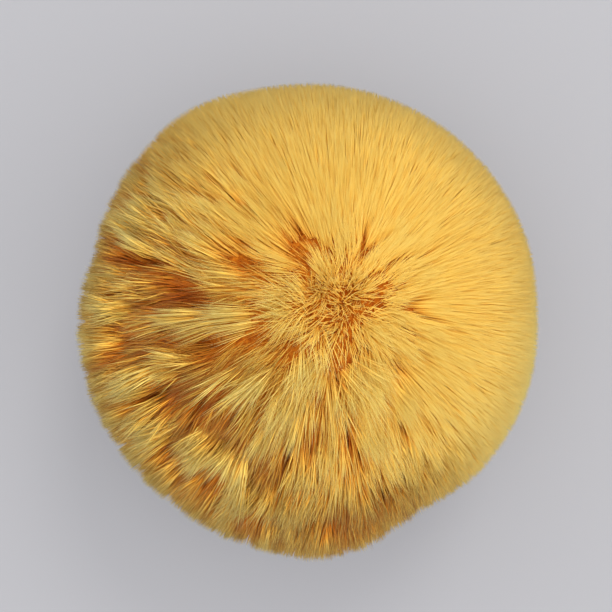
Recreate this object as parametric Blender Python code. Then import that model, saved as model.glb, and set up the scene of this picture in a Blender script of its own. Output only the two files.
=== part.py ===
"""A round pom pom of long-pile fur, resting on a flat surface.

The pom pom is one solid. Its backing is a small ball, a little to one side of
the middle, and three-sided locks of pile stand on every facet of it. They
reach out to one rounded outer surface. The locks underneath are shorter, and
their ends lie level on the surface that the pom pom rests on.

Metres, +Z up, +X to the right and +Y away. The origin is on the resting
surface, under the middle of the pom pom.
"""

import math
import random

import bmesh
import bpy
from mathutils import Vector

# The pile's outer surface
POM_DIAMETER = 0.122
PRESSED_DEPTH = 0.0050
POM_RADIUS = POM_DIAMETER / 2
POM_CENTRE = Vector((0.0, 0.0, POM_RADIUS - PRESSED_DEPTH))

# Where the outer surface stands out or draws in, as seen from above. Azimuth
# runs from +X towards +Y.
SWELL_HALF_WIDTH_DEG = 13.0
SWELLS = (
    {"azimuth_deg": 270.0, "rise": 0.0026},
    {"azimuth_deg": 120.0, "rise": 0.0014},
    {"azimuth_deg": 165.0, "rise": -0.0026},
    {"azimuth_deg": 300.0, "rise": -0.0020},
)

# The backing ball that the pile grows from
BACKING_RADIUS = 0.027
BACKING_CENTRE = POM_CENTRE + Vector((0.0085, 0.0040, -0.0015))

# The locks of pile, one on each facet of the backing
LOCK_COUNT = 300
FACET_JITTER = 0.26
FACET_SMOOTHINGS = 2
SHORTEST_SHARE = 0.95
TIP_LEAN = 0.0022
DROOP = 0.0012
FLOOR_END_WIDTH = 0.66
SEED = 11

# A lock's cross-sections: how far each lies from root to tip, and its width
# as a share of the facet seen from the backing's centre.
LOCK_SECTIONS = (
    {"reach": 0.00, "width": 0.84},
    {"reach": 0.44, "width": 0.82},
    {"reach": 0.76, "width": 0.66},
    {"reach": 1.00, "width": 0.17},
)

PILE_COLOUR = (0.79, 0.45, 0.09, 1.0)
PILE_ROUGHNESS = 0.9
SMOOTH_UNDER_DEG = 50.0


def clear_scene():
    """Remove the startup objects."""
    for obj in list(bpy.data.objects):
        bpy.data.objects.remove(obj, do_unlink=True)


def pile_material():
    """Golden yellow pile."""
    material = bpy.data.materials.new("golden_pile")
    material.use_nodes = True
    shader = material.node_tree.nodes["Principled BSDF"]
    shader.inputs["Base Color"].default_value = PILE_COLOUR
    shader.inputs["Roughness"].default_value = PILE_ROUGHNESS
    shader.inputs["Metallic"].default_value = 0.0
    return material


def uneven(dice):
    """A vector with each coordinate between -1 and 1."""
    return Vector([dice.uniform(-1.0, 1.0) for _ in range(3)])


def scattered_directions(count, dice):
    """Unit vectors spread over a sphere on a golden spiral, each nudged a little."""
    golden_turn = math.pi * (3.0 - math.sqrt(5.0))
    spacing = math.sqrt(4.0 * math.pi / count)
    directions = []
    for index in range(count):
        height = 1.0 - (2.0 * index + 1.0) / count
        level = math.sqrt(1.0 - height * height)
        turn = index * golden_turn
        even = Vector((level * math.cos(turn), level * math.sin(turn), height))
        nudge = uneven(dice) * FACET_JITTER * spacing
        directions.append((even + nudge).normalized())
    return directions


def facetted_ball(bm, dice):
    """The backing as a unit ball of LOCK_COUNT three-sided facets of uneven size."""
    corner_count = LOCK_COUNT // 2 + 2
    for direction in scattered_directions(corner_count, dice):
        bm.verts.new(direction)
    bmesh.ops.convex_hull(bm, input=bm.verts[:])
    for _ in range(FACET_SMOOTHINGS):
        bmesh.ops.smooth_vert(bm, verts=bm.verts[:], factor=0.5, use_axis_x=True,
                              use_axis_y=True, use_axis_z=True)
        for vert in bm.verts:
            vert.co.normalize()
    bmesh.ops.recalc_face_normals(bm, faces=bm.faces[:])


def turn_a_facet_down(bm):
    """Turn the ball so that one facet faces the point under the pom pom's middle."""
    straight_down = Vector((0.0, 0.0, 0.0)) - BACKING_CENTRE
    lowest = min(bm.faces, key=lambda face: face.calc_center_median().z)
    middle = lowest.calc_center_median()
    turn = middle.rotation_difference(straight_down)
    for vert in bm.verts:
        vert.co.rotate(turn)


def swell(direction):
    """How far the outer surface stands out in this direction from the middle."""
    azimuth = math.degrees(math.atan2(direction.y, direction.x))
    level = math.hypot(direction.x, direction.y) ** 4
    total = 0.0
    for row in SWELLS:
        apart = (azimuth - row["azimuth_deg"] + 180.0) % 360.0 - 180.0
        total += row["rise"] * math.exp(-((apart / SWELL_HALF_WIDTH_DEG) ** 2))
    return total * level


def outer_distance(direction):
    """From the backing's centre to the pile's outer surface, in this direction."""
    offset = BACKING_CENTRE - POM_CENTRE
    along = offset.dot(direction)
    radius = POM_RADIUS
    for _ in range(2):
        distance = -along + math.sqrt(along * along - offset.length_squared + radius ** 2)
        radius = POM_RADIUS + swell((offset + direction * distance).normalized())
    return distance


def floor_distance(direction):
    """From the backing's centre to the resting surface, in this direction."""
    if direction.z >= 0.0:
        return math.inf
    return BACKING_CENTRE.z / -direction.z


def plan_lock(corners, dice):
    """What sets one lock's shape: its axis, length, lean and corner directions."""
    axis = sum(corners, Vector()).normalized()
    outer = outer_distance(axis)
    on_floor = floor_distance(axis) < outer
    length = BACKING_RADIUS + (outer - BACKING_RADIUS) * dice.uniform(SHORTEST_SHARE, 1.0)
    sideways = uneven(dice) * TIP_LEAN
    lean = sideways - axis * sideways.dot(axis) + Vector((0.0, 0.0, -DROOP))
    return {
        "axis": axis,
        "corners": corners,
        "on_floor": on_floor,
        "length": floor_distance(axis) if on_floor else length,
        "lean": Vector() if on_floor else lean,
    }


def section_points(lock, section):
    """The corners of one cross-section of a lock, none of them below the floor."""
    at_floor = lock["on_floor"] and section is LOCK_SECTIONS[-1]
    width = FLOOR_END_WIDTH if at_floor else section["width"]
    reach = section["reach"]
    distance = BACKING_RADIUS + (lock["length"] - BACKING_RADIUS) * reach
    points = []
    for corner in lock["corners"]:
        direction = lock["axis"].lerp(corner, width)
        arm = direction * distance + lock["lean"] * reach * reach
        if at_floor or BACKING_CENTRE.z + arm.z < 0.0:
            arm *= BACKING_CENTRE.z / -arm.z
        points.append(BACKING_CENTRE + arm)
    return points


def number_corners(bm, faces):
    """Write each face's place in the list on it, and each corner's place in its face."""
    lock_number = bm.faces.layers.int["lock"]
    corner_number = bm.verts.layers.int["corner"]
    for index, face in enumerate(faces):
        face[lock_number] = index
        for place, vert in enumerate(face.verts):
            vert[corner_number] = place


def move_corners(bm, faces, locks, section):
    """Put each face's corners on its own lock's cross-section."""
    lock_number = bm.faces.layers.int["lock"]
    corner_number = bm.verts.layers.int["corner"]
    for face in faces:
        points = section_points(locks[face[lock_number]], section)
        for vert in face.verts:
            vert.co = points[vert[corner_number]]


def grow_locks(bm, dice):
    """Raise a lock on each facet, with a parting between it and the next ones."""
    faces = bm.faces[:]
    facet_corners = bm.verts[:]
    bmesh.ops.inset_individual(bm, faces=faces, thickness=0.0)
    number_corners(bm, faces)
    locks = [plan_lock([vert.co.copy() for vert in face.verts], dice) for face in faces]
    for vert in facet_corners:
        vert.co = BACKING_CENTRE + vert.co * BACKING_RADIUS
    move_corners(bm, faces, locks, LOCK_SECTIONS[0])
    for section in LOCK_SECTIONS[1:]:
        faces = bmesh.ops.extrude_discrete_faces(bm, faces=faces)["faces"]
        move_corners(bm, faces, locks, section)


def centre_over_origin(bm):
    """Slide the pom pom level, until the middle of its box is over the origin."""
    for axis in (0, 1):
        places = [vert.co[axis] for vert in bm.verts]
        middle = (min(places) + max(places)) / 2.0
        for vert in bm.verts:
            vert.co[axis] -= middle


def make_pompom(collection):
    """The pom pom as one mesh object."""
    dice = random.Random(SEED)
    bm = bmesh.new()
    bm.faces.layers.int.new("lock")
    bm.verts.layers.int.new("corner")
    facetted_ball(bm, dice)
    turn_a_facet_down(bm)
    grow_locks(bm, dice)
    centre_over_origin(bm)
    bmesh.ops.recalc_face_normals(bm, faces=bm.faces[:])
    mesh = bpy.data.meshes.new("pompom")
    bm.to_mesh(mesh)
    bm.free()
    mesh.materials.append(pile_material())
    mesh.shade_smooth()
    mesh.set_sharp_from_angle(angle=math.radians(SMOOTH_UNDER_DEG))
    pompom = bpy.data.objects.new("pompom", mesh)
    collection.objects.link(pompom)
    return pompom


def main():
    clear_scene()
    collection = bpy.data.collections.new("Pom_pom")
    bpy.context.scene.collection.children.link(collection)
    make_pompom(collection)


main()
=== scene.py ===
# Fluffy pom pom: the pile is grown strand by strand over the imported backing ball.
import math
import random

import bmesh
import bpy
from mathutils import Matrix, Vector


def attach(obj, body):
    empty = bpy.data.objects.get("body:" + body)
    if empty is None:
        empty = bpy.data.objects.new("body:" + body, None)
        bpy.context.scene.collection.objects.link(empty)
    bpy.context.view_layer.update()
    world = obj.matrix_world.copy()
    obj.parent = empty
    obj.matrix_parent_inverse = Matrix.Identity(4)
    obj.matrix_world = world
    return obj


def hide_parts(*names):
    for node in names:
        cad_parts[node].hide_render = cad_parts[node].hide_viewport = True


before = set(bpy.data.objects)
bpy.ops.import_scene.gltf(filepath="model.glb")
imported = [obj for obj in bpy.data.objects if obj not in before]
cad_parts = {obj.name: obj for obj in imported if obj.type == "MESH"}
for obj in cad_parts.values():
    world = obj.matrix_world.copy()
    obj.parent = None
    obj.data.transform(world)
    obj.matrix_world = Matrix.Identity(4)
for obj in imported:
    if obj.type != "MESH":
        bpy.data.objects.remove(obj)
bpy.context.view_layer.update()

# The ball as a whole, in metres. The backing sits off-centre, so the pile
# parts a little right of and beyond the middle.
ball = {
    "centre": Vector((-0.0002, 0.00137, 0.0560)),
    "radius": 0.0605,
    "backingOffset": Vector((0.0085, 0.0040, -0.0015)),
    "backingRadius": 0.027,
    "swellWidth": 13.0,
    "swells": (  # turn, and how far the surface stands out there
        (273.0, 0.0029), (251.0, 0.0012), (120.0, 0.0016),
        (165.0, -0.0020), (300.0, -0.0021), (2.0, -0.0008),
    ),
    "floorGap": 0.0004,
}
backing = ball["centre"] + ball["backingOffset"]


def swellAt(direction):
    # how far the pile's surface stands out or draws in, strongest at the sides
    azimuth = math.degrees(math.atan2(direction.y, direction.x))
    level = math.hypot(direction.x, direction.y) ** 4
    total = 0.0
    for turn, rise in ball["swells"]:
        apart = (azimuth - turn + 180.0) % 360.0 - 180.0
        total += rise * math.exp(-((apart / ball["swellWidth"]) ** 2))
    return total * level


def pileReach(direction):
    # from the backing's centre to the ends of the pile, or to the floor
    offset = ball["backingOffset"]
    along = offset.dot(direction)
    radius = ball["radius"]
    for _ in range(2):
        reach = -along + math.sqrt(along * along - offset.length_squared + radius ** 2)
        radius = ball["radius"] + swellAt((offset + direction * reach).normalized())
    if direction.z < 0.0:
        reach = min(reach, (backing.z - ball["floorGap"]) / -direction.z)
    return reach


# small helpers for building node trees
def addNode(tree, kind, values=None, **settings):
    node = tree.nodes.new(kind)
    for name, value in settings.items():
        setattr(node, name, value)
    for key, value in (values or {}).items():
        socket = node.inputs[key]
        if isinstance(value, bpy.types.NodeSocket):
            tree.links.new(value, socket)
        else:
            socket.default_value = value
    return node


def number(tree, operation, *values):
    node = addNode(tree, "ShaderNodeMath", dict(enumerate(values)), operation=operation)
    return node.outputs[0]


def vector(tree, operation, *values):
    node = addNode(tree, "ShaderNodeVectorMath", dict(enumerate(values)), operation=operation)
    return node.outputs["Value" if operation in ("LENGTH", "DOT_PRODUCT", "DISTANCE") else "Vector"]


def scaled(tree, value, factor):
    node = addNode(tree, "ShaderNodeVectorMath", {0: value, "Scale": factor}, operation="SCALE")
    return node.outputs["Vector"]


def between(tree, factor, start, end):
    node = addNode(tree, "ShaderNodeMix", {0: factor, 4: start, 5: end}, data_type="VECTOR")
    return node.outputs[1]


def numberBetween(tree, factor, start, end):
    return addNode(tree, "ShaderNodeMix", {0: factor, 2: start, 3: end}, data_type="FLOAT").outputs[0]


def product(tree, first, second):
    return number(tree, "MULTIPLY", first, second)


def graded(tree, value, factor, start):
    return number(tree, "MULTIPLY_ADD", value, factor, start)


def eased(tree, value, start, end, low, high):
    # goes softly from low to high while the value goes from start to end
    node = addNode(tree, "ShaderNodeMapRange", {
        "Value": value, "From Min": start, "From Max": end, "To Min": low, "To Max": high,
    }, interpolation_type="SMOOTHSTEP")
    return node.outputs["Result"]


def noise(tree, place, pattern):
    return addNode(tree, "ShaderNodeTexNoise", {"Vector": place, **pattern})


# the floor, the light and the camera
stage = {
    "floorSize": 10.0,
    "floorColour": (0.34, 0.34, 0.355, 1.0),
    "floorRoughness": 0.85,
    "floorGloss": 0.2,
    "lens": 70.0,
    "sensor": 36.0,
    "pictureSide": 612.0,
    "photoRadius": 231.0,  # the pom pom's radius in a picture 612 wide
    "photoMiddle": (308.0, 316.0),
    "lampColour": (1.0, 0.97, 0.93),
    "lampTurn": 68.0,
    "lampRise": 54.0,
    "lampSize": 0.35,
    "lampDistance": 1.1,
    "lampPower": 2.7,
    "sideTurn": -8.0,
    "sideRise": 20.0,
    "sideSize": 1.5,
    "sidePower": 3.2,
    "overheadColour": (1.0, 0.98, 0.96),
    "overheadSize": 1.2,
    "overheadHeight": 1.5,
    "overheadPower": 2.6,
    "skyColour": (0.90, 0.90, 0.92, 1.0),
    "skyStrength": 1.54,
}


def layFloor():
    mesh = bpy.data.meshes.new("floor")
    bm = bmesh.new()
    bmesh.ops.create_grid(bm, x_segments=1, y_segments=1, size=stage["floorSize"] / 2)
    bm.to_mesh(mesh)
    bm.free()
    floor = bpy.data.objects.new("floor", mesh)
    bpy.context.scene.collection.objects.link(floor)
    material = bpy.data.materials.new("paleFloor")
    material.use_nodes = True
    shader = material.node_tree.nodes["Principled BSDF"]
    shader.inputs["Base Color"].default_value = stage["floorColour"]
    shader.inputs["Roughness"].default_value = stage["floorRoughness"]
    shader.inputs["Specular IOR Level"].default_value = stage["floorGloss"]
    mesh.materials.append(material)


def hangLamp(name, size, power, colour, aim, distance):
    lamp = bpy.data.lights.new(name, "AREA")
    lamp.shape = "DISK"
    lamp.size = size
    lamp.energy = power
    lamp.color = colour
    lampObject = bpy.data.objects.new(name, lamp)
    lampObject.location = ball["centre"] + aim * distance
    lampObject.rotation_euler = aim.to_track_quat("Z", "Y").to_euler()
    bpy.context.scene.collection.objects.link(lampObject)


def aimFrom(turnDegrees, riseDegrees):
    turn, rise = math.radians(turnDegrees), math.radians(riseDegrees)
    return Vector((math.cos(turn) * math.cos(rise), math.sin(turn) * math.cos(rise), math.sin(rise)))


def hangLamps():
    hangLamp("softLamp", stage["lampSize"], stage["lampPower"], stage["lampColour"],
             aimFrom(stage["lampTurn"], stage["lampRise"]), stage["lampDistance"])
    hangLamp("sideLamp", stage["sideSize"], stage["sidePower"], stage["lampColour"],
             aimFrom(stage["sideTurn"], stage["sideRise"]), stage["lampDistance"])
    hangLamp("overheadLamp", stage["overheadSize"], stage["overheadPower"], stage["overheadColour"],
             Vector((0.0, 0.0, 1.0)), stage["overheadHeight"])


def lightRoom():
    world = bpy.data.worlds.new("paleRoom")
    world.use_nodes = True
    sky = world.node_tree.nodes["Background"]
    sky.inputs["Color"].default_value = stage["skyColour"]
    sky.inputs["Strength"].default_value = stage["skyStrength"]
    bpy.context.scene.world = world
    bpy.context.scene.view_settings.view_transform = "Standard"


def placeCamera():
    camera = bpy.data.cameras.new("topCamera")
    camera.lens = stage["lens"]
    camera.sensor_width = stage["sensor"]
    perPixel = camera.sensor_width / camera.lens / stage["pictureSide"]
    distance = ball["radius"] / math.sin(math.atan(stage["photoRadius"] * perPixel))
    perPixel *= distance
    middle = stage["pictureSide"] / 2
    across = (middle - stage["photoMiddle"][0]) * perPixel
    up = (stage["photoMiddle"][1] - middle) * perPixel
    cameraObject = bpy.data.objects.new("topCamera", camera)
    cameraObject.location = ball["centre"] + Vector((across, up, distance))
    bpy.context.scene.collection.objects.link(cameraObject)
    bpy.context.scene.camera = cameraObject
    print("camera", round(distance, 3), "m above the middle of the pom pom")


layFloor()
hangLamps()
lightRoom()
placeCamera()


# the pile's colours, read from each strand's place on its own map: across is
# the strand's tone, up is how far out along the pile it is
pileLook = {
    # the pale tips are the pile's own colour; the darker, redder colours towards the roots are painted shade
    # deep in the pile
    "paleTipsAndPaintedDepthShade": (
        (0.00, (0.66, 0.130, 0.006)),
        (0.60, (0.80, 0.175, 0.008)),
        (0.75, (0.86, 0.260, 0.014)),
        (0.84, (0.94, 0.460, 0.050)),
        (0.90, (0.97, 0.620, 0.105)),
        (0.96, (0.98, 0.780, 0.225)),
        (1.00, (0.98, 0.900, 0.500)),
    ),
    "darkest": 0.40,
    "lightest": 1.12,
    "roughness": 0.62,
    "gloss": 0.13,
    "sheen": 0.10,
    "sheenTint": (1.0, 0.80, 0.42, 1.0),
    "sheenRoughness": 0.5,
    "roots": {"from": 0.70, "to": 0.96, "roughness": 0.95},  # duller towards the roots
}

underLook = {
    "hairs": {"Scale": 55.0, "Detail": 4.0},
    # painted shade: the deep pile is darker than the strands' roots
    "colours": ((0.35, (0.34, 0.070, 0.002)), (0.70, (0.64, 0.200, 0.009))),
    "bump": {"Distance": 0.002, "Strength": 0.8},
    "roughness": 0.9,
    "gloss": 0.15,
}


def makePileMaterial():
    material = bpy.data.materials.new("goldenPile")
    material.use_nodes = True
    tree = material.node_tree
    shader = tree.nodes["Principled BSDF"]
    place = addNode(tree, "ShaderNodeUVMap", uv_map="OFBake")
    split = addNode(tree, "ShaderNodeSeparateXYZ", {0: place.outputs[0]})
    # painted shade: the ramp darkens and reddens from the pale tips towards the roots
    ramp = addNode(tree, "ShaderNodeValToRGB", {0: split.outputs["Y"]})
    stops = ramp.color_ramp.elements
    while len(stops) < len(pileLook["paleTipsAndPaintedDepthShade"]):
        stops.new(0.5)
    for stop, (depth, colour) in zip(stops, pileLook["paleTipsAndPaintedDepthShade"]):
        stop.position = depth
        stop.color = (*colour, 1.0)
    tone = addNode(tree, "ShaderNodeMapRange", {
        "Value": split.outputs["X"],
        "To Min": pileLook["darkest"],
        "To Max": pileLook["lightest"],
    })
    shade = addNode(tree, "ShaderNodeHueSaturation", {
        "Color": ramp.outputs["Color"],
        "Value": tone.outputs["Result"],
    })
    rough = addNode(tree, "ShaderNodeMapRange", {
        "Value": split.outputs["Y"],
        "From Min": pileLook["roots"]["from"],
        "From Max": pileLook["roots"]["to"],
        "To Min": pileLook["roots"]["roughness"],
        "To Max": pileLook["roughness"],
    })
    tree.links.new(shade.outputs["Color"], shader.inputs["Base Color"])
    tree.links.new(rough.outputs["Result"], shader.inputs["Roughness"])
    shader.inputs["Specular IOR Level"].default_value = pileLook["gloss"]
    shader.inputs["Sheen Weight"].default_value = pileLook["sheen"]
    shader.inputs["Sheen Roughness"].default_value = pileLook["sheenRoughness"]
    shader.inputs["Sheen Tint"].default_value = pileLook["sheenTint"]
    return material


def makeUnderMaterial():
    # the deep pile: rust coloured and dark as painted shade, with fine streaks that run outwards
    material = bpy.data.materials.new("deepPile")
    material.use_nodes = True
    tree = material.node_tree
    shader = tree.nodes["Principled BSDF"]
    place = addNode(tree, "ShaderNodeTexCoord")
    outwards = vector(tree, "SUBTRACT", place.outputs["Object"], tuple(backing))
    aim = vector(tree, "NORMALIZE", outwards)
    hairs = noise(tree, aim, underLook["hairs"])
    ramp = addNode(tree, "ShaderNodeValToRGB", {0: hairs.outputs[0]})
    for stop, (position, colour) in zip(ramp.color_ramp.elements, underLook["colours"]):
        stop.position = position
        stop.color = (*colour, 1.0)
    bump = addNode(tree, "ShaderNodeBump", {"Height": hairs.outputs[0], **underLook["bump"]})
    tree.links.new(ramp.outputs["Color"], shader.inputs["Base Color"])
    tree.links.new(bump.outputs["Normal"], shader.inputs["Normal"])
    shader.inputs["Roughness"].default_value = underLook["roughness"]
    shader.inputs["Specular IOR Level"].default_value = underLook["gloss"]
    return material


pileMaterial = makePileMaterial()
underMaterial = makeUnderMaterial()
print("materials made")


# the skin that the strands' ends lie on, in six parts
skinLook = {
    "fineness": 6,
    "capShare": 0.667,  # how high the crown and underside parts start, as a share of the radius
    "parts": ("furCrown", "furRight", "furFar", "furLeft", "furNear", "furUnder"),
}


def partOf(point):
    aim = (point - ball["centre"]).normalized()
    if aim.z > skinLook["capShare"]:
        return 0
    if aim.z < -skinLook["capShare"]:
        return 5
    quarter = int(((math.degrees(math.atan2(aim.y, aim.x)) + 45.0) % 360.0) // 90.0)
    return 1 + quarter


def makeSkin():
    bm = bmesh.new()
    bmesh.ops.create_icosphere(bm, subdivisions=skinLook["fineness"], radius=1.0)
    part = bm.faces.layers.int.new("part")
    for vert in bm.verts:
        aim = vert.co.normalized()
        vert.co = backing + aim * pileReach(aim)
    for face in bm.faces:
        face[part] = partOf(face.calc_center_median())
    mesh = bpy.data.meshes.new("skin")
    bm.to_mesh(mesh)
    bm.free()
    skin = bpy.data.objects.new("skin", mesh)
    bpy.context.scene.collection.objects.link(skin)
    return skin


def makeUnderFur():
    # a lumpy ball well inside the ends of the pile, so that nothing shows through
    look = {"fineness": 5, "depth": 0.71, "crownDepth": 0.105, "lumps": 0.0020, "seed": 5}
    dice = random.Random(look["seed"])
    bm = bmesh.new()
    bmesh.ops.create_icosphere(bm, subdivisions=look["fineness"], radius=1.0)
    for vert in bm.verts:
        aim = vert.co.normalized()
        reach = pileReach(aim)
        depth = look["depth"] + look["crownDepth"] * max(aim.z, 0.0) ** 6
        deep = ball["backingRadius"] + (reach - ball["backingRadius"]) * depth
        vert.co = backing + aim * (deep + dice.uniform(-1.0, 1.0) * look["lumps"])
    mesh = bpy.data.meshes.new("underFur")
    bm.to_mesh(mesh)
    bm.free()
    mesh.materials.append(underMaterial)
    mesh.shade_smooth()
    underFur = bpy.data.objects.new("underFur", mesh)
    bpy.context.scene.collection.objects.link(underFur)
    return underFur


# the strands: a tree that sows them on the skin, gathers them in locks and
# tufts, and gives each its root, bend and tip
strandLook = {
    "density": {"furCrown": 4.15, "furUnder": 2.7, "sides": 3.4},  # to a square mm
    "thickness": 0.00016,
    "bendPlace": 0.87,
    "bendColour": 0.80,  # where the bend's colour is taken from, so that only the tips are pale
    "bendShift": 0.36,
    "bendFall": 0.50,
    "crownBend": -0.14,
    "fall": 0.22,  # how much the pile lies over, away from the crown
    "fallFrom": -0.75,
    "fallTo": -0.15,
    "proud": 0.0011,
    "proudTousled": 0.0036,
    "longer": 3.0,  # how much longer a lock or tuft is than wide, down the ball
    "lockSpacing": 0.0011,
    "tuftSpacing": 0.0046,
    "lockDensity": 2.0e6,
    "tuftDensity": 0.2e6,
    "lockGather": 0.80,
    "tuftGather": 0.54,
    "tuftPoint": 0.0070,
    "lockInLine": 0.55,  # the share of a move down the ball that is taken away
    "tuftInLine": 0.15,
    "lockLean": 0.0018,
    "tuftLean": 0.0034,
    "crownTuftLean": 2.7,
    "combing": 0.0060,
    "combSlope": 0.32,  # how quickly the combing changes down the ball
    "stray": 0.0024,
    "crownStray": 0.0008,
    "crownLean": 0.0014,
    "crownFall": 0.26,
    "crownRuffle": 0.26,
    "swirl": 0.0050,
    "ruffle": 0.0070,
    "lockEdge": 0.0014,
    "tuftEdge": 0.0030,
    "lockStep": 0.0022,
    "tuftStep": 0.0052,
    "hollows": 0.0042,
    "uneven": 0.0054,
    "bareDepth": 0.0066,
    "shortest": 0.0070,  # even the shortest strands reach out of the deep pile
    "shortestTousled": 0.0030,
    "shortestSpread": 0.0024,
    "shortestCrown": -0.0022,
    "wander": 0.007,
    "partingPush": 1.1,
    "tousledSide": Vector((-0.76, -0.64, -0.05)),
    "wildSide": Vector((-0.91, -0.40, 0.15)),
    "paintedLightSide": Vector((0.60, -0.74, 0.30)),
    "paintedLightRimSide": Vector((0.96, -0.24, -0.15)),
}

# where the pile changes: from, to, and what it goes from and to there
zones = {
    "tousled": (-0.22, 0.45, 0.12, 1.0),
    "raised": (0.20, 0.48, 0.07, 1.0),
    "wild": (0.25, 0.80, 0.25, 1.0),
    "hollow": (0.56, 0.36, 0.0, strandLook["hollows"]),
    "atCrown": (0.86, 0.995, 0.0, 1.0),
    "nearCrown": (0.70, 0.97, 0.0, 1.0),
    "paintedShadeByHeight": (0.50, 0.80, -0.85, 0.38),
    "paintedLightSide": (0.62, 0.94, 0.0, 0.06),
    "paintedLightRimSide": (0.72, 0.98, 0.0, 0.08),
}

patterns = {
    "wave": {"Scale": 55.0, "Detail": 1.0},
    "comb": {"Scale": 3.4, "Detail": 2.0, "Roughness": 0.6},
    "hollow": {"Scale": 10.0, "Detail": 2.0, "Roughness": 0.55},
    "ruffle": {"Scale": 130.0, "Detail": 1.0},
    "wander": {"Scale": 90.0, "Detail": 2.0},
}

# a strand's tone, and how far out along the colours its tip comes; both also carry painted shade and painted
# light
toneLook = {
    "base": 0.85,
    "strandSpread": 0.60,
    "lockSpread": 0.50,
    "tuftSpread": 0.10,
    "combedSpread": 0.06,
    "tousledSpread": 0.94,
    "tousledPaintedShade": -0.26,
    "deepPaintedShade": -0.85,
    "deepAfter": 0.0060,  # a tousled strand this short is not yet deep
    "deepRise": 72.0,
    "deepest": 0.37,
    "barePaintedShade": 0.20,
    "outer": 0.81,
    "outerTousled": 0.110,
    "outerWild": 0.125,
    "outerCrown": 0.075,
    "redBelow": 0.70,
    "redder": 0.15,
    "paintedLightRimSideTone": 0.8,
    "rimPaintedShadeOuter": -0.045,
    "rimPaintedShadeTone": -0.12,
    "combedRimPaintedLightOuter": 0.03,
    "combedRimPaintedLightTone": 0.10,
    "liftCombed": 0.70,
    "liftCrown": 0.62,
    "liftCrownTousled": -0.40,
    "liftMiddle": -0.06,
    "liftWild": 0.60,
}

# Partings seen from above: turn round the crown, where each starts and ends
# from it, and half its width, in mm
partings = (
    {"turn": 180.0, "start": 23.0, "end": 60.0, "width": 2.0},
    {"turn": 201.0, "start": 26.0, "end": 46.0, "width": 1.9},
    {"turn": 192.0, "start": 42.0, "end": 57.0, "width": 1.4},
    {"turn": 170.0, "start": 30.0, "end": 46.0, "width": 1.3},
    {"turn": 227.0, "start": 17.0, "end": 32.0, "width": 1.4},
    {"turn": 229.0, "start": 40.0, "end": 52.0, "width": 1.3},
    {"turn": 216.0, "start": 34.0, "end": 50.0, "width": 1.3},
    {"turn": 250.0, "start": 28.0, "end": 42.0, "width": 1.2},
    {"turn": 107.0, "start": 7.0, "end": 16.0, "width": 0.8},
    {"turn": 233.0, "start": 5.0, "end": 13.0, "width": 1.1},
    {"turn": 189.0, "start": 9.0, "end": 21.0, "width": 1.3},
    {"turn": 154.0, "start": 14.0, "end": 27.0, "width": 1.2},
    {"turn": 126.0, "start": 13.0, "end": 29.0, "width": 1.0},
)


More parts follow.
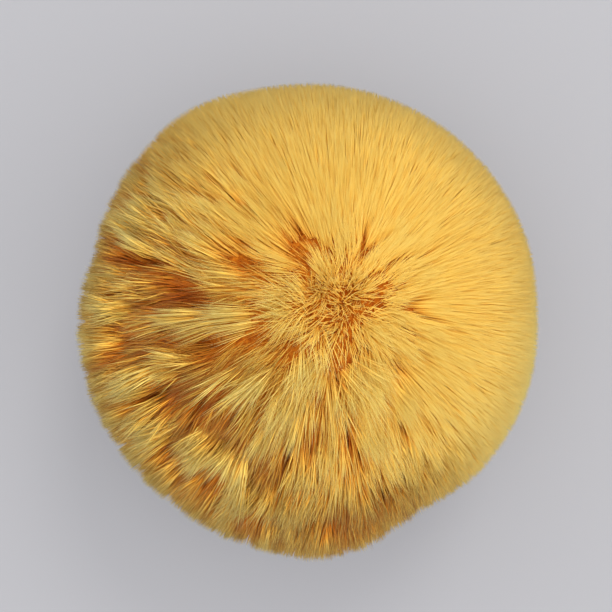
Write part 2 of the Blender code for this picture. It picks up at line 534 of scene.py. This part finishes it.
def makeStrandTree():
    look = strandLook
    tree = bpy.data.node_groups.new("growPile", "GeometryNodeTree")
    tree.interface.new_socket("Geometry", in_out="INPUT", socket_type="NodeSocketGeometry")
    tree.interface.new_socket("Geometry", in_out="OUTPUT", socket_type="NodeSocketGeometry")
    inputs = {
        "Part": ("NodeSocketInt", 0),
        "Density": ("NodeSocketFloat", 3.0e6),
        "Thickness": ("NodeSocketFloat", look["thickness"]),
        "Lock Spacing": ("NodeSocketFloat", look["lockSpacing"]),
        "Tuft Spacing": ("NodeSocketFloat", look["tuftSpacing"]),
        "Seed": ("NodeSocketInt", 7),
        "Material": ("NodeSocketMaterial", None),
    }
    for name, (kind, value) in inputs.items():
        socket = tree.interface.new_socket(name, in_out="INPUT", socket_type=kind)
        if value is not None:
            socket.default_value = value
    given = addNode(tree, "NodeGroupInput")
    skin = given.outputs["Geometry"]
    spot = addNode(tree, "GeometryNodeInputPosition").outputs[0]

    def read(name, kind="FLOAT_VECTOR"):
        return addNode(tree, "GeometryNodeInputNamedAttribute", {"Name": name}, data_type=kind).outputs[0]

    def store(geometry, name, value, kind="FLOAT_VECTOR", domain="POINT"):
        return addNode(tree, "GeometryNodeStoreNamedAttribute", {
            "Geometry": geometry, "Name": name, "Value": value,
        }, data_type=kind, domain=domain).outputs[0]

    def clamped(value):
        return addNode(tree, "ShaderNodeClamp", {0: value}).outputs[0]

    def unroll(place):
        # a place on the skin, moved so that distances down the ball are short
        aim = vector(tree, "NORMALIZE", vector(tree, "SUBTRACT", place, tuple(backing)))
        level = vector(tree, "LENGTH", vector(tree, "MULTIPLY", aim, (1.0, 1.0, 0.0)))
        widen = number(tree, "DIVIDE", 0.9, number(tree, "SQRT", number(tree, "MAXIMUM", level, 0.0004)))
        split = addNode(tree, "ShaderNodeSeparateXYZ", {0: aim})
        down = number(tree, "DIVIDE", number(tree, "ARCCOSINE", split.outputs["Z"]), -look["longer"])
        moved = addNode(tree, "ShaderNodeCombineXYZ", {
            "X": product(tree, split.outputs["X"], widen),
            "Y": product(tree, split.outputs["Y"], widen),
            "Z": down,
        }).outputs[0]
        return scaled(tree, moved, ball["radius"])

    # guides: the middles of the fine locks and of the broad tufts, each longer
    # down the ball than it is wide
    marked = store(skin, "trueSpot", spot)
    unrolled = addNode(tree, "GeometryNodeSetPosition", {
        "Geometry": marked, "Position": unroll(spot),
    }).outputs[0]

    def sowGuides(spacing, density, seed):
        return addNode(tree, "GeometryNodeDistributePointsOnFaces", {
            "Mesh": unrolled, "Distance Min": given.outputs[spacing], "Density Max": density, "Seed": seed,
        }, distribute_method="POISSON").outputs["Points"]

    lockSpots = sowGuides("Lock Spacing", look["lockDensity"], 3)
    tuftSpots = sowGuides("Tuft Spacing", look["tuftDensity"], 4)
    trueSpot = read("trueSpot")

    # the strands of this part of the skin
    here = addNode(tree, "FunctionNodeCompare", {
        2: read("part", "INT"), 3: given.outputs["Part"],
    }, data_type="INT", operation="EQUAL").outputs[0]
    sown = addNode(tree, "GeometryNodeDistributePointsOnFaces", {
        "Mesh": skin, "Selection": here, "Density": given.outputs["Density"], "Seed": given.outputs["Seed"],
    }, distribute_method="RANDOM").outputs["Points"]

    def nearest(points, place):
        index = addNode(tree, "GeometryNodeSampleNearest", {
            "Geometry": points, "Sample Position": place,
        }, domain="POINT").outputs[0]
        found = []
        for value in (trueSpot, spot):
            found.append(addNode(tree, "GeometryNodeSampleIndex", {
                "Geometry": points, "Value": value, "Index": index,
            }, data_type="FLOAT_VECTOR", domain="POINT").outputs[0])
        apart = vector(tree, "DISTANCE", place, found[1])
        return index, found[0], found[1], apart

    def anyNumber(seed, owner=None):
        node = addNode(tree, "FunctionNodeRandomValue", {"Seed": seed}, data_type="FLOAT")
        if owner is not None:
            tree.links.new(owner, node.inputs["ID"])
        return node.outputs[1]

    def anyVector(seed, owner=None):
        node = addNode(tree, "FunctionNodeRandomValue", {"Seed": seed}, data_type="FLOAT_VECTOR")
        node.inputs[0].default_value = (-1.0, -1.0, -1.0)
        node.inputs[1].default_value = (1.0, 1.0, 1.0)
        if owner is not None:
            tree.links.new(owner, node.inputs["ID"])
        return node.outputs[0]

    lockIndex, lock, lockPlace, fromLock = nearest(lockSpots, unroll(spot))
    tuftIndex, tuft, _, fromTuft = nearest(tuftSpots, lockPlace)

    outwards = vector(tree, "SUBTRACT", spot, tuple(backing))
    aim = vector(tree, "NORMALIZE", outwards)
    reach = vector(tree, "LENGTH", outwards)
    height = addNode(tree, "ShaderNodeSeparateXYZ", {0: aim}).outputs["Z"]

    def towards(side):
        return vector(tree, "DOT_PRODUCT", aim, tuple(look[side].normalized()))

    # how tousled the pile is here, from 0 where it is combed to 1, and how wild
    # its broad tufts are; the relief is less near the rim that shows from
    # above, and below it
    tousled = eased(tree, towards("tousledSide"), *zones["tousled"])
    raised = eased(tree, height, *zones["raised"])
    relief = product(tree, tousled, raised)
    wild = eased(tree, towards("wildSide"), *zones["wild"])
    atCrown = eased(tree, height, *zones["atCrown"])
    nearCrown = eased(tree, height, *zones["nearCrown"])

    # how far each strand's tip is moved sideways
    upShare = vector(tree, "DOT_PRODUCT", aim, (0.0, 0.0, 1.0))
    upwards = vector(tree, "SUBTRACT", (0.0, 0.0, 1.0), scaled(tree, aim, upShare))
    upwards = vector(tree, "NORMALIZE", upwards)

    def mostlyAcross(move, share):
        # the part of a sideways move that runs down the ball is made less
        down = product(tree, vector(tree, "DOT_PRODUCT", move, upwards), share)
        return vector(tree, "SUBTRACT", move, scaled(tree, upwards, down))

    def centred(pattern):
        colour = noise(tree, spot, pattern).outputs["Color"]
        return vector(tree, "SUBTRACT", colour, (0.5, 0.5, 0.5))

    toLock = mostlyAcross(vector(tree, "SUBTRACT", lock, spot), look["lockInLine"])
    # a tuft comes to its point at its lower end, so that it lies over the next
    tuftPoint = vector(tree, "SUBTRACT", tuft, scaled(tree, upwards, look["tuftPoint"]))
    toTuft = mostlyAcross(vector(tree, "SUBTRACT", tuftPoint, lock), look["tuftInLine"])
    steady = product(tree, tousled, graded(tree, raised, 0.92, 0.08))
    tuftGather = product(tree, product(tree, steady, wild), look["tuftGather"])

    # partings that run outwards from the crown: the pile is combed round it
    # by a noise that changes quickly round the ball and slowly down it
    around = vector(tree, "NORMALIZE", vector(tree, "CROSS_PRODUCT", (0.0, 0.0, 1.0), aim))
    downwards = product(tree, number(tree, "ARCCOSINE", height), look["combSlope"])
    combSpot = addNode(tree, "ShaderNodeCombineXYZ", {"Z": downwards}).outputs[0]
    combSpot = vector(tree, "ADD", around, combSpot)
    comb = noise(tree, combSpot, patterns["comb"]).outputs[0]
    combing = product(tree, number(tree, "SUBTRACT", comb, 0.5), look["combing"] * 2.0)
    hollow = eased(tree, noise(tree, combSpot, patterns["hollow"]).outputs[0], *zones["hollow"])

    loose = product(tree, graded(tree, tousled, 0.90, 0.10), look["stray"])
    loose = product(tree, loose, graded(tree, raised, 0.6, 0.4))
    loose = graded(tree, atCrown, look["crownStray"], loose)
    lockLoose = product(tree, graded(tree, tousled, 0.97, 0.02), look["lockLean"])
    lockLoose = graded(tree, atCrown, look["crownLean"], lockLoose)
    unsettled = product(tree, nearCrown, graded(tree, tousled, 1.5, -0.14))
    unsettled = graded(tree, atCrown, look["crownRuffle"], unsettled)
    gather = product(tree, number(tree, "MAXIMUM", steady, unsettled), look["lockGather"])
    ruffled = product(tree, tousled, graded(tree, wild, 0.7, 0.25))
    ruffled = number(tree, "MAXIMUM", ruffled, unsettled)
    ruffled = product(tree, ruffled, graded(tree, raised, 0.8, 0.2))
    swirl = graded(tree, nearCrown, look["swirl"] * 0.3, look["swirl"])
    swirl = product(tree, swirl, graded(tree, tousled, 0.50, 0.50))
    swirl = product(tree, swirl, graded(tree, raised, 0.6, 0.4))
    tuftLoose = graded(tree, nearCrown, look["tuftLean"] * look["crownTuftLean"], look["tuftLean"])
    moves = [
        scaled(tree, toLock, gather),
        scaled(tree, toTuft, tuftGather),
        scaled(tree, anyVector(21, lockIndex), lockLoose),
        scaled(tree, anyVector(22, tuftIndex), product(tree, ruffled, tuftLoose)),
        scaled(tree, centred(patterns["ruffle"]), product(tree, ruffled, look["ruffle"] * 2.0)),
        scaled(tree, anyVector(23), loose),
        scaled(tree, around, product(tree, combing, steady)),
        scaled(tree, centred(patterns["wave"]), swirl),
    ]

    # the drawn partings part the pile to both sides of a line, and the rust of the painted depth shade shows
    # in them
    bare = None
    wander = noise(tree, spot, patterns["wander"]).outputs[0]
    wander = product(tree, number(tree, "SUBTRACT", wander, 0.5), look["wander"])
    for row in partings:
        turn = math.radians(row["turn"])
        halfWidth = row["width"] / 1000.0
        sideways = (-math.sin(turn), math.cos(turn), 0.0)
        along = vector(tree, "DOT_PRODUCT", outwards, (math.cos(turn), math.sin(turn), 0.0))
        across = vector(tree, "DOT_PRODUCT", outwards, sideways)
        across = number(tree, "DIVIDE", number(tree, "ADD", across, wander), halfWidth)
        middle = (row["start"] + row["end"]) / 2000.0
        half = (row["end"] - row["start"]) / 2000.0
        fade = number(tree, "DIVIDE", number(tree, "SUBTRACT", along, middle), half)
        fade = number(tree, "SUBTRACT", 1.0, number(tree, "POWER", number(tree, "ABSOLUTE", fade), 3.0))
        fade = number(tree, "MAXIMUM", fade, 0.0)
        near = number(tree, "EXPONENT", product(tree, product(tree, across, across), -0.5))
        near = product(tree, near, fade)
        away = product(tree, product(tree, across, near), halfWidth * look["partingPush"])
        away = product(tree, away, graded(tree, atCrown, -0.80, 1.0))
        moves.append(scaled(tree, sideways, away))
        bare = near if bare is None else number(tree, "MAXIMUM", bare, near)

    shift = moves[0]
    for move in moves[1:]:
        shift = vector(tree, "ADD", move, shift)
    inLine = scaled(tree, aim, vector(tree, "DOT_PRODUCT", shift, aim))
    shift = vector(tree, "SUBTRACT", shift, inLine)

    # how far each strand falls short of the skin
    def edge(distance, name):
        share = number(tree, "DIVIDE", distance, look[name + "Spacing"])
        return product(tree, number(tree, "POWER", share, 2.0), look[name + "Edge"] * 2.0)

    lockEdge = product(tree, edge(fromLock, "lock"), graded(tree, relief, 0.90, 0.10))
    ragged = product(tree, number(tree, "POWER", anyNumber(31), 1.1), look["uneven"])
    ragged = product(tree, ragged, graded(tree, relief, 0.86, 0.14))
    lockStep = product(tree, anyNumber(32, lockIndex), look["lockStep"])
    tuftStep = product(tree, anyNumber(33, tuftIndex), look["tuftStep"])
    tuftShort = number(tree, "ADD", edge(fromTuft, "tuft"), tuftStep)
    short = number(tree, "ADD", product(tree, tuftShort, wild), lockStep)
    short = graded(tree, hollow, graded(tree, wild, 0.10, 0.60), short)
    short = number(tree, "ADD", product(tree, short, relief), number(tree, "ADD", lockEdge, ragged))
    short = graded(tree, product(tree, bare, raised), look["bareDepth"], short)
    shortest = graded(tree, relief, look["shortestTousled"], look["shortest"])
    shortest = graded(tree, anyNumber(34), look["shortestSpread"], shortest)
    shortest = graded(tree, nearCrown, look["shortestCrown"], shortest)
    short = number(tree, "MINIMUM", short, shortest)
    proud = graded(tree, relief, look["proudTousled"], look["proud"])
    proud = graded(tree, tousled, 0.0003, proud)
    length = number(tree, "ADD", number(tree, "SUBTRACT", reach, short), proud)

    # the pile leaves the backing steeper than it ends, so that it lies over
    level = vector(tree, "LENGTH", vector(tree, "MULTIPLY", aim, (1.0, 1.0, 0.0)))
    upwards = scaled(tree, upwards, level)
    falling = addNode(tree, "ShaderNodeMapRange", {
        "Value": height, "From Min": look["fallFrom"], "From Max": look["fallTo"], "To Max": look["fall"],
    }).outputs["Result"]
    falling = graded(tree, nearCrown, look["crownFall"], falling)

    def leaning(amount):
        return vector(tree, "NORMALIZE", vector(tree, "ADD", aim, scaled(tree, upwards, amount)))

    root = scaled(tree, leaning(falling), ball["backingRadius"])
    tip = scaled(tree, vector(tree, "NORMALIZE", vector(tree, "ADD", outwards, shift)), length)
    bendPlace = graded(tree, nearCrown, look["crownBend"], look["bendPlace"])
    bendLength = numberBetween(tree, bendPlace, ball["backingRadius"], length)
    bend = scaled(tree, leaning(product(tree, falling, look["bendFall"])), bendLength)
    bend = vector(tree, "ADD", bend, scaled(tree, shift, look["bendShift"]))
    ends = {}
    for name, arm in (("rootSpot", root), ("bendSpot", bend), ("tipSpot", tip)):
        ends[name] = vector(tree, "ADD", arm, tuple(backing))
    for name, gaps in (("tipSpot", 1.0), ("bendSpot", 2.0)):
        ends[name] = vector(tree, "MAXIMUM", ends[name], (-1.0, -1.0, ball["floorGap"] * gaps))

    line = vector(tree, "SUBTRACT", tip, bend)
    sideA = vector(tree, "NORMALIZE", vector(tree, "CROSS_PRODUCT", line, anyVector(41)))
    sideB = vector(tree, "NORMALIZE", vector(tree, "CROSS_PRODUCT", line, sideA))

    # the tone of each strand
    dye = toneLook
    tone = 0.0
    for seed, spread, owner in (
        (51, dye["strandSpread"], None),
        (52, dye["lockSpread"], lockIndex),
        (53, dye["tuftSpread"], tuftIndex),
    ):
        tone = graded(tree, anyNumber(seed, owner), spread, number(tree, "ADD", tone, -spread / 2.0))
    tone = product(tree, tone, graded(tree, tousled, dye["tousledSpread"], dye["combedSpread"]))
    tone = number(tree, "ADD", tone, dye["base"])
    # painted shade: the tousled side, away from the key lamp, is darker
    tone = graded(tree, number(tree, "POWER", tousled, 2.0), dye["tousledPaintedShade"], tone)
    # painted shade and painted light: on the tousled side that is not wild, the tone is darker low down and
    # lighter higher up
    tame = product(tree, tousled, number(tree, "SUBTRACT", 1.0, wild))
    paintedShadeByHeight = product(tree, eased(tree, height, *zones["paintedShadeByHeight"]), tame)
    tone = graded(tree, paintedShadeByHeight, raised, tone)

    # how deep in the pile it lies, and so how much painted shade it gets: a deeper strand's tone is darker
    # and its tip comes less far out along the colours
    deep = number(tree, "SUBTRACT", short, product(tree, relief, dye["deepAfter"]))
    deep = number(tree, "MINIMUM", product(tree, deep, dye["deepRise"]), dye["deepest"])
    deep = number(tree, "MAXIMUM", deep, 0.0)
    deep = graded(tree, bare, dye["barePaintedShade"], deep)
    pale = product(tree, tousled, graded(tree, wild, dye["outerWild"], dye["outerTousled"]))
    outer = number(tree, "SUBTRACT", number(tree, "ADD", pale, dye["outer"]), deep)
    outer = graded(tree, atCrown, dye["outerCrown"], outer)
    tone = graded(tree, deep, dye["deepPaintedShade"], tone)
    # strands darkened by random tone and by painted shade also get redder tips
    redder = product(tree, number(tree, "SUBTRACT", tone, dye["redBelow"]), tousled)
    outer = graded(tree, redder, dye["redder"], outer)
    # painted light: the lower right side is lighter and its tips more pale
    paintedLight = eased(tree, towards("paintedLightSide"), *zones["paintedLightSide"])
    outer = number(tree, "ADD", outer, paintedLight)
    tone = number(tree, "ADD", tone, paintedLight)
    # painted light: the right rim is lighter and its tips more pale
    paintedLight = eased(tree, towards("paintedLightRimSide"), *zones["paintedLightRimSide"])
    outer = number(tree, "ADD", outer, paintedLight)
    tone = graded(tree, paintedLight, dye["paintedLightRimSideTone"], tone)

    # painted shade darkens the tousled rim, and painted light lightens the combed rim
    lowered = number(tree, "SUBTRACT", 1.0, raised)
    rim = product(tree, tousled, lowered)
    outer = graded(tree, rim, dye["rimPaintedShadeOuter"], outer)
    tone = graded(tree, rim, dye["rimPaintedShadeTone"], tone)
    # painted light on the combed rim
    combedRim = product(tree, number(tree, "SUBTRACT", 1.0, tousled), lowered)
    outer = graded(tree, combedRim, dye["combedRimPaintedLightOuter"], outer)
    tone = clamped(graded(tree, combedRim, dye["combedRimPaintedLightTone"], tone))

    # how much of the painted depth shade is taken back, so that the inner pile is lighter than rust
    crownLift = product(tree, nearCrown, graded(tree, tousled, dye["liftCrownTousled"], dye["liftCrown"]))
    combedLift = graded(tree, number(tree, "POWER", tousled, 1.5), -dye["liftCombed"], dye["liftCombed"])
    lift = number(tree, "MAXIMUM", crownLift, combedLift)
    lift = graded(tree, atCrown, dye["liftMiddle"], lift)
    wildLift = product(tree, anyNumber(54, lockIndex), product(tree, relief, wild))
    lift = graded(tree, wildLift, dye["liftWild"], lift)

    stored = [(name, value, "FLOAT_VECTOR") for name, value in ends.items()]
    stored += [("sideA", sideA, "FLOAT_VECTOR"), ("sideB", sideB, "FLOAT_VECTOR")]
    stored += [("tone", tone, "FLOAT"), ("outer", outer, "FLOAT"), ("lift", lift, "FLOAT")]
    points = sown
    for name, value, kind in stored:
        points = store(points, name, value, kind)

    # one blank strand: root, three-sided waist, tip
    blank = addNode(tree, "GeometryNodeMeshUVSphere", {"Segments": 3, "Rings": 2, "Radius": 1.0})
    blank = store(blank.outputs["Mesh"], "blankSpot", spot)
    planted = addNode(tree, "GeometryNodeInstanceOnPoints", {"Points": points, "Instance": blank}).outputs[0]
    grown = addNode(tree, "GeometryNodeRealizeInstances", {"Geometry": planted}).outputs[0]

    blankSplit = addNode(tree, "ShaderNodeSeparateXYZ", {0: read("blankSpot")})
    blankHeight = blankSplit.outputs["Z"]
    lower = clamped(number(tree, "ADD", blankHeight, 1.0))
    upper = clamped(blankHeight)
    onAxis = between(tree, lower, read("rootSpot"), read("bendSpot"))
    onAxis = between(tree, upper, onAxis, read("tipSpot"))
    acrossA = product(tree, blankSplit.outputs["X"], given.outputs["Thickness"])
    acrossB = product(tree, blankSplit.outputs["Y"], given.outputs["Thickness"])
    offset = vector(tree, "ADD", scaled(tree, read("sideA"), acrossA), scaled(tree, read("sideB"), acrossB))
    waist = number(tree, "SUBTRACT", 1.0, number(tree, "ABSOLUTE", blankHeight))
    shaped = addNode(tree, "GeometryNodeSetPosition", {
        "Geometry": grown, "Position": vector(tree, "ADD", onAxis, scaled(tree, offset, waist)),
    }).outputs[0]

    # the map: tone across, place along the pile upwards, both within its edges
    alongPile = product(tree, lower, look["bendColour"])
    alongPile = graded(tree, upper, 1.0 - look["bendColour"], alongPile)
    alongPile = product(tree, alongPile, read("outer", "FLOAT"))
    below = number(tree, "SUBTRACT", 1.0, alongPile)
    alongPile = clamped(graded(tree, below, read("lift", "FLOAT"), alongPile))
    mapX = graded(tree, read("tone", "FLOAT"), 0.90, 0.05)
    mapX = graded(tree, blankSplit.outputs["X"], 0.02, mapX)
    mapY = graded(tree, alongPile, 0.96, 0.02)
    mapSpot = addNode(tree, "ShaderNodeCombineXYZ", {"X": mapX, "Y": mapY}).outputs[0]
    mapped = store(shaped, "OFBake", mapSpot, "FLOAT2", "CORNER")
    for name in [row[0] for row in stored] + ["blankSpot", "UVMap"]:
        mapped = addNode(tree, "GeometryNodeRemoveAttribute", {"Geometry": mapped, "Name": name}).outputs[0]
    smooth = addNode(tree, "GeometryNodeSetShadeSmooth", {"Geometry": mapped}).outputs[0]
    dyed = addNode(tree, "GeometryNodeSetMaterial", {
        "Geometry": smooth, "Material": given.outputs["Material"],
    }).outputs[0]
    addNode(tree, "NodeGroupOutput", {"Geometry": dyed})
    return tree


def growPart(tree, skin, partNumber, name):
    density = strandLook["density"].get(name, strandLook["density"]["sides"])
    grower = bpy.data.objects.new(name + "Grower", skin.data)
    bpy.context.scene.collection.objects.link(grower)
    modifier = grower.modifiers.new("growPile", "NODES")
    modifier.node_group = tree
    values = {
        "Part": partNumber,
        "Density": density * 1.0e6,
        "Seed": 100 + partNumber,
        "Material": pileMaterial,
    }
    given = [item for item in tree.interface.items_tree if item.in_out == "INPUT"]
    sockets = {item.name: item.identifier for item in given}
    for key, value in values.items():
        modifier[sockets[key]] = value
    evaluated = grower.evaluated_get(bpy.context.evaluated_depsgraph_get())
    mesh = bpy.data.meshes.new_from_object(evaluated)
    mesh.name = name
    bpy.data.objects.remove(grower, do_unlink=True)
    fur = bpy.data.objects.new(name, mesh)
    bpy.context.scene.collection.objects.link(fur)
    mesh.calc_loop_triangles()
    print(name, len(mesh.loop_triangles), "triangles")
    return fur


skin = makeSkin()
strandTree = makeStrandTree()
furParts = [growPart(strandTree, skin, number, name) for number, name in enumerate(skinLook["parts"])]
bpy.data.objects.remove(skin, do_unlink=True)
furParts.append(makeUnderFur())

for fur in furParts:
    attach(fur, "root")
    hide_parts("pompom")
print("pile grown in", len(furParts), "pieces")
